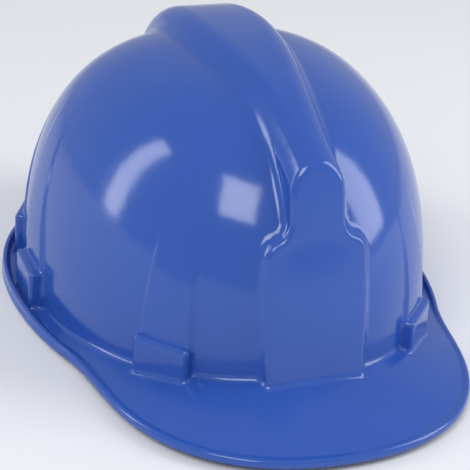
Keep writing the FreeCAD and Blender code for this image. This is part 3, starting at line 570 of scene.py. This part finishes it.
@dataclass
class ShellForm:
    """Sizes of the moulded shell in millimetres, about the dome's centre on the resting plane."""

    half_width: float = 99.0
    half_length: float = 122.0
    height: float = 130.0
    lean: float = -3.0
    rear_widening: float = 0.123
    plan_power: float = 2.2
    profile_power: float = 2.64
    wall: float = 2.6
    rim_level: float = 7.2
    gutter_width: float = 11.5
    peak_width: float = 47.5
    peak_span: float = 70.0
    root_rise: float = 19.0
    root_span: float = 110.0
    bead_rise: float = 1.2
    bead_width: float = 2.6
    floor_trim: float = 0.3
    crest_rise: float = 9.0
    crest_front_radius: float = 236.0
    neck_half_width: float = 13.4
    crest_top_half_width: float = 25.0
    crest_rear_half_width: float = 19.0
    crest_rounding: float = 12.0
    crest_fillet: float = 6.0
    pivot: float = 30.0
    plate_half_width: float = 24.7
    plate_shoulder: float = 84.0
    plate_shoulder_slope: float = 26.0
    plate_foot_y: float = -125.3
    plate_foot_z: float = 21.4
    plate_lean: float = 10.3
    plate_edge: float = 2.4
    plate_bow: float = 320.0
    boss_half_width: float = 15.0
    boss_edge: float = 2.4
    pocket_half_width: float = 12.0
    boss_wall: float = 2.2
    table_count: int = 1440
    bosses: list[Boss] = field(default_factory=list)

    def __post_init__(self) -> None:
        """Tabulate the plan curve and place the bosses."""
        self.table_angle = np.linspace(-180.0, 180.0, self.table_count + 1)
        self.table_point = self.plan_point(self.table_angle)
        self.table_out = self.plan_normal(self.table_angle)
        self._place_bosses()

    # -- plan curve
    def plan_point(self, angle: Array) -> Array:
        """Return points of the dome's plan curve, for angles in degrees from the front."""
        t = np.radians(angle)
        across = power(np.sin(t), 2 / self.plan_power)
        along = -power(np.cos(t), 2 / self.plan_power)
        x = self.half_width * across * (1 + self.rear_widening * along)
        return np.stack([x, self.half_length * along], -1)

    def plan_normal(self, angle: Array) -> Array:
        """Return outward unit normals of the plan curve."""
        step = 0.5
        tangent = self.plan_point(np.asarray(angle) + step) - self.plan_point(np.asarray(angle) - step)
        normal = np.stack([tangent[..., 1], -tangent[..., 0]], -1)
        return normal / np.linalg.norm(normal, axis=-1, keepdims=True)

    def brim_width(self, angle: Array) -> Array:
        """Return how far the brim reaches from the dome."""
        share = np.minimum(np.abs(angle) / self.peak_span, 1.0) ** 1.5
        return self.gutter_width + (self.peak_width - self.gutter_width) * (1 + np.cos(np.pi * share)) / 2

    def root_level(self, angle: Array) -> Array:
        """Return the height of the brim's top where it meets the dome."""
        share = np.minimum(np.abs(angle) / self.root_span, 1.0)
        return self.wall - self.floor_trim + self.root_rise * (1 + np.cos(np.pi * share)) / 2

    def edge_level(self, angle: Array) -> Array:
        """Return the height of the brim's top just inside the rim bead."""
        start = 45.0
        floor = self.wall - self.floor_trim
        share = np.clip((np.abs(angle) - start) / (self.root_span - start), 0.0, 1.0)
        return floor + (self.rim_level - self.bead_rise - floor) * (1 + np.cos(np.pi * share)) / 2

    def _place_bosses(self) -> None:
        """Put a boss over each key pocket and each accessory slot."""
        side = self.table_angle[(self.table_angle > 60) & (self.table_angle < 130)]
        widest = side[np.argmin(np.abs(self.plan_point(side)[:, 1] - 13.0))]
        for sign in (1, -1):
            for kind, angle, proud, top, depth in ((Pocket.FRONT_KEY, 43.0, 5.0, 32.0, 3.6),
                                                   (Pocket.REAR_KEY, 125.0, 5.0, 26.0, 3.6),
                                                   (Pocket.ACCESSORY, widest, 6.6, 24.0, 4.6)):
                origin = self.plan_point(np.float64(sign * angle))
                out = self.plan_normal(np.float64(sign * angle))
                if kind is Pocket.ACCESSORY:
                    out = np.array([float(sign), 0.0])
                pocket_out = proud - self.boss_wall
                notch = 6.7 if kind is Pocket.REAR_KEY else -20.0
                rib = {Pocket.FRONT_KEY: (96.0, 0.0), Pocket.REAR_KEY: (104.0, 0.0),
                       Pocket.ACCESSORY: (112.0, 0.16)}[kind]
                self.bosses.append(Boss(kind, origin, out, proud, top, pocket_out - depth, pocket_out,
                                        notch, rib[0], sign * rib[1]))

    # -- fields
    def plan_reach(self, across: Array, along: Array) -> Array:
        """Return how far out a place is, as a share of the plan curve."""
        return (np.abs(across) ** self.plan_power + np.abs(along) ** self.plan_power) ** (1 / self.plan_power)

    def plan_fields(self, x: Array, y: Array) -> tuple[Array, Array]:
        """Return the distance outside the plan curve and the plan angle of each point.

        Args:
            x: across, in millimetres.
            y: fore and aft, from the dome's centre.

        Returns:
            The signed distance and the angle in degrees of the nearest plan point.
        """
        x, y = np.broadcast_arrays(x, y)
        along = y / self.half_length
        across = x / (self.half_width * (1 + self.rear_widening * np.clip(along, -1, 1)))
        reach = np.maximum(self.plan_reach(across, along), 1e-6)
        half = self.plan_power / 2
        angle = np.degrees(np.arctan2(power(across / reach, half), -power(along / reach, half)))
        distance = np.zeros_like(x, float)
        for _ in range(4):
            near = [np.interp(angle, self.table_angle, self.table_point[:, i]) for i in (0, 1)]
            out = [np.interp(angle, self.table_angle, self.table_out[:, i]) for i in (0, 1)]
            dx, dy = x - near[0], y - near[1]
            distance = dx * out[0] + dy * out[1]
            slip = -dx * out[1] + dy * out[0]
            bend = np.maximum(1.0 + distance / 100.0, 0.3)
            angle = angle + np.clip(np.degrees(slip / (110.0 * bend)), -6.0, 6.0) * (distance > -40)
            angle = (angle + 180.0) % 360.0 - 180.0
        return distance, angle

    def _dome_raw(self, x: Array, y: Array, z: Array) -> Array:
        """Return the dome's implicit function, scaled to about a distance."""
        s = np.maximum(z - self.rim_level, 0.0) / self.height
        moved = y - self.lean * np.minimum(s, 1.0)
        along = moved / self.half_length
        reach = np.ones_like(along + x)
        for _ in range(2):
            share = np.clip(along / np.maximum(reach, 1e-3), -1, 1)
            across = x / (self.half_width * (1 + self.rear_widening * share))
            reach = self.plan_reach(across, along)
        total = (reach ** self.profile_power + s ** self.profile_power) ** (1 / self.profile_power)
        radius = np.sqrt(x * x + moved * moved + (s * self.height) ** 2)
        return radius * (1.0 - 1.0 / np.maximum(total, 1e-3))

    def dome(self, x: Array, y: Array, z: Array) -> Array:
        """Return the distance outside the plain dome."""
        reach = 0.5
        here = self._dome_raw(x, y, z)
        slope = np.sqrt(sum((self._dome_raw(x + reach * i, y + reach * j, z + reach * k) - here) ** 2
                            for i, j, k in ((1, 0, 0), (0, 1, 0), (0, 0, 1)))) / reach
        return here / np.clip(slope, 0.6, 1.4)

    def plate_face(self, x: Array, y: Array, z: Array) -> Array:
        """Return the distance in front of the plate's leaning, slightly bowed face."""
        lean = math.radians(self.plate_lean)
        flat = -(y - self.plate_foot_y) * math.cos(lean) + (z - self.plate_foot_z) * math.sin(lean)
        return flat + x * x / (2 * self.plate_bow)

    def _crest_top_raw(self, y: Array, z: Array) -> Array:
        """Return about the distance above the crest's top line."""
        top = self.rim_level + self.height + self.crest_rise
        bend = self.crest_front_radius
        front = (z - top + y * y / (2 * bend)) / np.sqrt(1 + (y / bend) ** 2)
        s = np.maximum(z - self.rim_level, 0.0) / (self.height + self.crest_rise)
        along = np.maximum(y, 0.0) / (self.half_length + self.crest_rise)
        total = (along ** self.profile_power + s ** self.profile_power) ** (1 / self.profile_power)
        radius = np.sqrt(y * y + (s * (self.height + self.crest_rise)) ** 2)
        rear = radius * (1 - 1 / np.maximum(total, 1e-3))
        return np.where(y < 0, front, rear)

    def crest(self, x: Array, y: Array, z: Array) -> Array:
        """Return the distance outside the crest, before it is cut off at the front plate."""
        reach = 0.5
        here = self._crest_top_raw(y, z)
        back = self._crest_top_raw(y + reach, z) - here
        up = self._crest_top_raw(y, z + reach) - here
        slope = np.hypot(back, up) / reach
        above = here / np.clip(slope, 0.6, 1.4)
        fan = np.degrees(np.arctan2(z - self.pivot, -y))
        fan = np.where(fan < -90, fan + 360, fan)
        rise = smooth_step((fan - 40) / 65)
        fall = smooth_step((fan - 105) / 80)
        half = self.neck_half_width + (self.crest_top_half_width - self.neck_half_width) * rise
        half = half + (self.crest_rear_half_width - self.crest_top_half_width) * fall
        rounding = self.neck_half_width + (self.crest_rounding - self.neck_half_width) * rise
        rounding = np.minimum(half - 0.4, rounding)
        return overlap(np.abs(x) - half, above, rounding)

    def plate(self, x: Array, y: Array, z: Array) -> Array:
        """Return the distance outside the plate's column, before its face is cut."""
        slope = math.radians(self.plate_shoulder_slope)
        shoulder = self.plate_shoulder + (self.plate_half_width - np.abs(x)) * math.tan(slope)
        above = (z - shoulder) * math.cos(slope)
        column = overlap(np.abs(x) - self.plate_half_width, above, 4.5)
        return np.maximum(column, y + 55.0)

    def rib_height(self, x: Array, y: Array, z: Array) -> Array:
        """Return how far the ribs above the bosses stand out of the dome."""
        total = np.zeros(np.broadcast(x, y, z).shape)
        for boss in self.bosses:
            across = (x - boss.origin[0]) * boss.out[1] - (y - boss.origin[1]) * boss.out[0]
            outward = (x - boss.origin[0]) * boss.out[0] + (y - boss.origin[1]) * boss.out[1]
            climb = np.clip((z - boss.top) / (boss.rib_top - boss.top), 0.0, 1.0)
            half = self.boss_half_width - 1.0 - 5.0 * climb
            centre = -boss.rib_lean * (z - boss.top)
            edge = smooth_step((half - np.abs(across - centre)) / 2.6 + 0.5)
            total = np.maximum(total, 1.7 * edge * (1 - smooth_step(climb)) * (outward > -70))
        return total

    def boss_distance(self, boss: Boss, x: Array, y: Array, z: Array, pocket: bool) -> Array:
        """Return the distance outside a boss, or outside its pocket."""
        across = (x - boss.origin[0]) * boss.out[1] - (y - boss.origin[1]) * boss.out[0]
        outward = (x - boss.origin[0]) * boss.out[0] + (y - boss.origin[1]) * boss.out[1]
        if pocket:
            slot = rounded_box([np.abs(across) - self.pocket_half_width, outward - boss.pocket_out,
                                boss.pocket_in - outward, z - (boss.top - self.wall)], 0.4)
            notch = rounded_box([np.abs(across) - self.pocket_half_width, outward - boss.pocket_out,
                                 -9.0 - outward, z - boss.notch], 0.4)
            return np.minimum(slot, notch)
        solid = rounded_box([np.abs(across) - self.boss_half_width, outward - boss.proud, z - boss.top],
                            self.boss_edge)
        return np.maximum(solid, -outward - 12.0)

    def body(self, x: Array, y: Array, z: Array) -> Array:
        """Return the distance outside the dome with its crest and front plate."""
        face = self.plate_face(x, y, z)
        front = joined(self.plate(x, y, z), self.crest(x, y, z), 5.0)
        raised = overlap(front, face, self.plate_edge)
        return joined(self.dome(x, y, z), raised, self.crest_fillet * 0.6)

    def __call__(self, x: Array, y: Array, z: Array) -> Array:
        """Return the distance outside the whole moulding."""
        distance, angle = self.plan_fields(x, y)
        width = self.brim_width(angle)
        root, edge = self.root_level(angle), self.edge_level(angle)
        share = np.clip(distance, -14.0, width + 2.0) / width
        top = root + (edge - root) * share
        bottom = np.maximum(top - self.wall, 0.0)
        slab = np.maximum(z - top, bottom - z)
        brim = overlap(slab, distance - width, 1.0)
        wall = np.abs(distance - width + self.bead_width / 2) - self.bead_width / 2
        lip = overlap(wall, np.maximum(z - self.rim_level, bottom - z), 1.1)
        brim = joined(brim, lip, 1.6)
        body = self.body(x, y, z)
        outside = body - self.rib_height(x, y, z)
        for boss in self.bosses:
            outside = joined(outside, self.boss_distance(boss, x, y, z, False), 1.6)
        outside = np.maximum(outside, bottom - z)
        whole = joined(outside, brim, 2.0)
        shell = overlap(whole, -(body + self.wall), 0.8)
        for boss in self.bosses:
            shell = overlap(shell, -self.boss_distance(boss, x, y, z, True), 0.4)
        return shell


@dataclass
class Shell:
    """The moulded shell."""

    form: ShellForm = field(default_factory=ShellForm)
    step: float = 1.2
    budget: int = 180000
    name: str = "shell_moulding"

    def build(self) -> bpy.types.Object:
        """Return the shell's mesh, thinned where it is flat and with exact normals."""
        low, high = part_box("shell")
        centre_y = (self.form.peak_width - self.form.gutter_width) / 2
        pad = 3.0
        lows = np.array(low) / MM - pad
        highs = np.array(high) / MM + pad
        lows[1] -= centre_y
        highs[1] -= centre_y
        mesher = DistanceMesher(self.form, self.step, tuple(lows), tuple(highs))
        points, faces = mesher.build()
        LOG.info("shell: %d vertices before thinning", len(points))
        piece = new_piece(self.name, points, faces)
        thin = piece.modifiers.new("Thin", "DECIMATE")
        thin.ratio = min(1.0, self.budget / (2.0 * len(faces)))
        apply_modifiers(piece)
        mesh = piece.data
        points = np.zeros(len(mesh.vertices) * 3)
        mesh.vertices.foreach_get("co", points)
        points = mesher.settle(points.reshape(-1, 3), 2)
        gradient = mesher.slope(points)[1]
        normals = gradient / np.linalg.norm(gradient, axis=1, keepdims=True)
        moved = (points + np.array([0.0, centre_y, 0.0])) * MM
        mesh.vertices.foreach_set("co", moved.ravel())
        mesh.polygons.foreach_set("use_smooth", [True] * len(mesh.polygons))
        mesh.update()
        mesh.normals_split_custom_set_from_vertices(normals.tolist())
        return piece

    def dress(self, piece: bpy.types.Object) -> None:
        """Finish the shell and tie it to its body."""
        dress(piece, Finish.SHELL)
        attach(piece, "shell")
        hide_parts("shell")


# ------------------------------------------------------------------------------ harness (CAD)
NODE_FINISHES: dict[str, Finish] = {
    "key": Finish.KEY, "hanger": Finish.KEY, "key_rivets": Finish.RIVET, "band_studs": Finish.RIVET,
    "headband": Finish.BAND, "keeper": Finish.BAND, "rack_strap": Finish.RACK,
    "ratchet_base": Finish.RATCHET, "ratchet_cover": Finish.RATCHET, "ratchet_knob": Finish.KNOB,
    "ratchet_pinion": Finish.GEAR, "cover_screws": Finish.STEEL, "knob_screw": Finish.STEEL,
    "crown_strap": Finish.WEBBING, "crown_pad": Finish.FOAM, "sweatband": Finish.SWEATBAND,
    "nape_pad": Finish.FOAM, "shell": Finish.SHELL,
}


def dress_nodes() -> None:
    """Give every CAD node its finish; the longest matching name wins."""
    for name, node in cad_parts.items():
        keys = [key for key in NODE_FINISHES if name.startswith(key)]
        finish = NODE_FINISHES[max(keys, key=len)]
        material = finish_material(finish)
        if not node.material_slots:
            node.data.materials.append(material)
        for slot in node.material_slots:
            slot.material = material


# ------------------------------------------------------------------------------------- stage
@dataclass
class Studio:
    """Floor, lamps, world and camera. Lengths in metres, angles in degrees.

    The camera's axis passes aim_right to the right of the target and aim_above above it, both as
    tangents of the angle between.
    """

    azimuth: float = -20.93
    elevation: float = 28.22
    roll: float = 3.82
    distance: float = 0.8685
    lens: float = 125.66
    target: tuple[float, float, float] = (0.0, 0.018, 0.0072)
    aim_right: float = 0.005431
    aim_above: float = 0.02707
    sensor: float = 36.0

    def floor(self) -> None:
        """Make a pale floor."""
        size = 6.0
        floor = new_piece("studio_floor", np.array([(-size, -size, 0), (size, -size, 0), (size, size, 0),
                                                    (-size, size, 0)]), [(0, 1, 2, 3)], False)
        shader = Shader("pale_floor")
        tone = shader.mixed(shader.noise(3.0, 2.0), (0.80, 0.80, 0.80), (0.84, 0.84, 0.84))
        floor.data.materials.append(shader.finish(Base_Color=tone, Roughness=0.9, Specular_IOR_Level=0.1))

    def lamp(self, name: str, place: tuple[float, float, float], size: tuple[float, float],
             watts: float) -> None:
        """Make one soft box that points at the helmet.

        Args:
            name: the lamp's name.
            place: where it stands.
            size: its width and height.
            watts: its power.
        """
        data = bpy.data.lights.new(name, "AREA")
        data.shape = "RECTANGLE"
        data.size, data.size_y = size
        data.energy = watts
        lamp = bpy.data.objects.new(name, data)
        lamp.location = place
        aim = Vector((0.0, 0.0, 0.06)) - Vector(place)
        lamp.rotation_euler = aim.to_track_quat("-Z", "Y").to_euler()
        bpy.context.scene.collection.objects.link(lamp)

    def world(self) -> None:
        """Make a plain bright world, white to the camera."""
        world = bpy.data.worlds.new("studio_world")
        bpy.context.scene.world = world
        world.use_nodes = True
        tree = world.node_tree
        tree.nodes.clear()
        path = tree.nodes.new("ShaderNodeLightPath")
        soft = tree.nodes.new("ShaderNodeBackground")
        white = tree.nodes.new("ShaderNodeBackground")
        mix = tree.nodes.new("ShaderNodeMixShader")
        output = tree.nodes.new("ShaderNodeOutputWorld")
        soft.inputs["Color"].default_value = (0.86, 0.90, 1.0, 1.0)
        soft.inputs["Strength"].default_value = 0.55
        white.inputs["Color"].default_value = (1.0, 1.0, 1.0, 1.0)
        white.inputs["Strength"].default_value = 1.0
        tree.links.new(path.outputs["Is Camera Ray"], mix.inputs["Fac"])
        tree.links.new(soft.outputs[0], mix.inputs[1])
        tree.links.new(white.outputs[0], mix.inputs[2])
        tree.links.new(mix.outputs[0], output.inputs["Surface"])

    def camera(self) -> None:
        """Make the camera, which stands back from its target and looks a little above it."""
        a, e, r = (math.radians(v) for v in (self.azimuth, self.elevation, self.roll))
        back = Vector((math.sin(a) * math.cos(e), -math.cos(a) * math.cos(e), math.sin(e)))
        right = Vector((math.cos(a), math.sin(a), 0.0))
        up = back.cross(right)
        right, up = right * math.cos(r) + up * math.sin(r), up * math.cos(r) - right * math.sin(r)
        forward = (-back + right * self.aim_right + up * self.aim_above).normalized()
        right = forward.cross(up).normalized()
        up = right.cross(forward)
        data = bpy.data.cameras.new("camera")
        data.lens = self.lens
        data.sensor_width = self.sensor
        camera = bpy.data.objects.new("camera", data)
        turn = Matrix((right, up, -forward)).transposed().to_4x4()
        camera.matrix_world = Matrix.Translation(Vector(self.target) + back * self.distance) @ turn
        bpy.context.scene.collection.objects.link(camera)
        bpy.context.scene.camera = camera

    def build(self) -> None:
        """Make the whole studio."""
        self.floor()
        self.lamp("key_soft_box", (-0.9, -1.1, 1.5), (0.9, 0.9), 16.0)
        self.lamp("right_soft_box", (1.3, -0.5, 0.8), (0.7, 1.4), 14.0)
        self.lamp("left_strip", (-1.3, 0.5, 0.6), (0.25, 1.2), 5.0)
        self.world()
        self.camera()
        bpy.context.scene.view_settings.view_transform = "Standard"


def main() -> None:
    """Build the studio and the helmet, and log the shell's face count."""
    logging.basicConfig(level=logging.INFO, format="%(name)s: %(message)s")
    Studio().build()
    dress_nodes()
    shell = Shell()
    moulding = shell.build()
    shell.dress(moulding)
    LOG.info("shell: %d faces", len(moulding.data.polygons))


if __name__ == "__main__":
    main()
